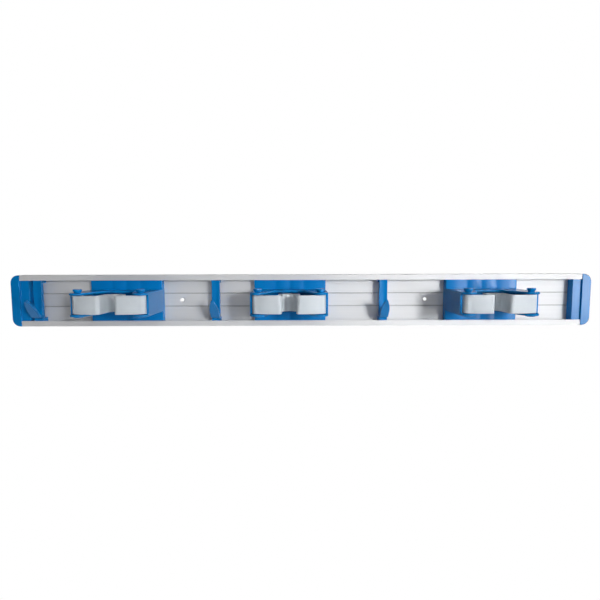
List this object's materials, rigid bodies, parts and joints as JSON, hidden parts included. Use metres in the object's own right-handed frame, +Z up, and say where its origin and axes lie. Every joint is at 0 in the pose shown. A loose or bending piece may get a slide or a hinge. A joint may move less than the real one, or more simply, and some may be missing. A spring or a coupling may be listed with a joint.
{
  "type": "wall mop holder rack",
  "caption": "Aluminium wall channel with end caps, sliding clip holders that grip handles in hinged rubber jaws, and sliding hooks.",
  "frame": {"origin": "centre of the rail's back face, on the wall", "axes": "+X along the rail to its right-hand end, +Z up, +Y into the wall, so the front faces -Y"},
  "size_m": [0.9, 0.091, 0.08],
  "materials": {
    "aluminium": "satin anodised",
    "blue_plastic": "moulded, lightly glossy",
    "grey_rubber": "matte"
  },
  "bodies": {
    "rail": {"rail": "aluminium", "end_cap_left": "blue_plastic", "end_cap_right": "blue_plastic"},
    "left_holder": {"left_holder_body": "blue_plastic", "left_pin_left": "blue_plastic", "left_pin_right": "blue_plastic", "left_web": "grey_rubber"},
    "left_left_jaw": {"left_jaw_left": "grey_rubber"},
    "left_right_jaw": {"left_jaw_right": "grey_rubber"},
    "centre_holder": {"centre_holder_body": "blue_plastic", "centre_pin_left": "blue_plastic", "centre_pin_right": "blue_plastic", "centre_web": "grey_rubber"},
    "centre_left_jaw": {"centre_jaw_left": "grey_rubber"},
    "centre_right_jaw": {"centre_jaw_right": "grey_rubber"},
    "right_holder": {"right_holder_body": "blue_plastic", "right_pin_left": "blue_plastic", "right_pin_right": "blue_plastic", "right_web": "grey_rubber"},
    "right_left_jaw": {"right_jaw_left": "grey_rubber"},
    "right_right_jaw": {"right_jaw_right": "grey_rubber"},
    "hook_left": {"hook_left": "blue_plastic"},
    "hook_middle": {"hook_middle": "blue_plastic"},
    "hook_right": {"hook_right": "blue_plastic"}
  },
  "joints": [
    {"name": "left_holder_slide", "type": "slide", "parent": "rail", "child": "left_holder", "axis": [1, 0, 0], "range_m": [-0.038, 0.038]},
    {"name": "left_left_jaw_swing", "type": "hinge", "parent": "left_holder", "child": "left_left_jaw", "pos_m": [-0.3165, -0.079, 0], "axis": [0, 0, 1], "range_deg": [0, 45], "stiffness_Nm_per_rad": 0.45, "deforming": ["left_web"]},
    {"name": "left_right_jaw_swing", "type": "hinge", "parent": "left_holder", "child": "left_right_jaw", "pos_m": [-0.2275, -0.079, 0], "axis": [0, 0, 1], "range_deg": [-45, 0], "stiffness_Nm_per_rad": 0.45},
    {"name": "centre_holder_slide", "type": "slide", "parent": "rail", "child": "centre_holder", "axis": [1, 0, 0], "range_m": [-0.024, 0.04]},
    {"name": "centre_left_jaw_swing", "type": "hinge", "parent": "centre_holder", "child": "centre_left_jaw", "pos_m": [-0.062, -0.079, 0], "axis": [0, 0, 1], "range_deg": [0, 45], "stiffness_Nm_per_rad": 0.45, "deforming": ["centre_web"]},
    {"name": "centre_right_jaw_swing", "type": "hinge", "parent": "centre_holder", "child": "centre_right_jaw", "pos_m": [0.027, -0.079, 0], "axis": [0, 0, 1], "range_deg": [-45, 0], "stiffness_Nm_per_rad": 0.45},
    {"name": "right_holder_slide", "type": "slide", "parent": "rail", "child": "right_holder", "axis": [1, 0, 0], "range_m": [-0.044, 0.08]},
    {"name": "right_left_jaw_swing", "type": "hinge", "parent": "right_holder", "child": "right_left_jaw", "pos_m": [0.2365, -0.079, 0], "axis": [0, 0, 1], "range_deg": [0, 45], "stiffness_Nm_per_rad": 0.45, "deforming": ["right_web"]},
    {"name": "right_right_jaw_swing", "type": "hinge", "parent": "right_holder", "child": "right_right_jaw", "pos_m": [0.3255, -0.079, 0], "axis": [0, 0, 1], "range_deg": [-45, 0], "stiffness_Nm_per_rad": 0.45},
    {"name": "hook_left_slide", "type": "slide", "parent": "rail", "child": "hook_left", "axis": [1, 0, 0], "range_m": [-0.006, 0.037]},
    {"name": "hook_middle_slide", "type": "slide", "parent": "rail", "child": "hook_middle", "axis": [1, 0, 0], "range_m": [-0.037, 0.025]},
    {"name": "hook_right_slide", "type": "slide", "parent": "rail", "child": "hook_right", "axis": [1, 0, 0], "range_m": [-0.04, 0.044]}
  ],
  "couplings": [
    {"joint": "left_right_jaw_swing", "follows": "left_left_jaw_swing", "ratio": -1},
    {"joint": "centre_right_jaw_swing", "follows": "centre_left_jaw_swing", "ratio": -1},
    {"joint": "right_right_jaw_swing", "follows": "right_left_jaw_swing", "ratio": -1}
  ]
}
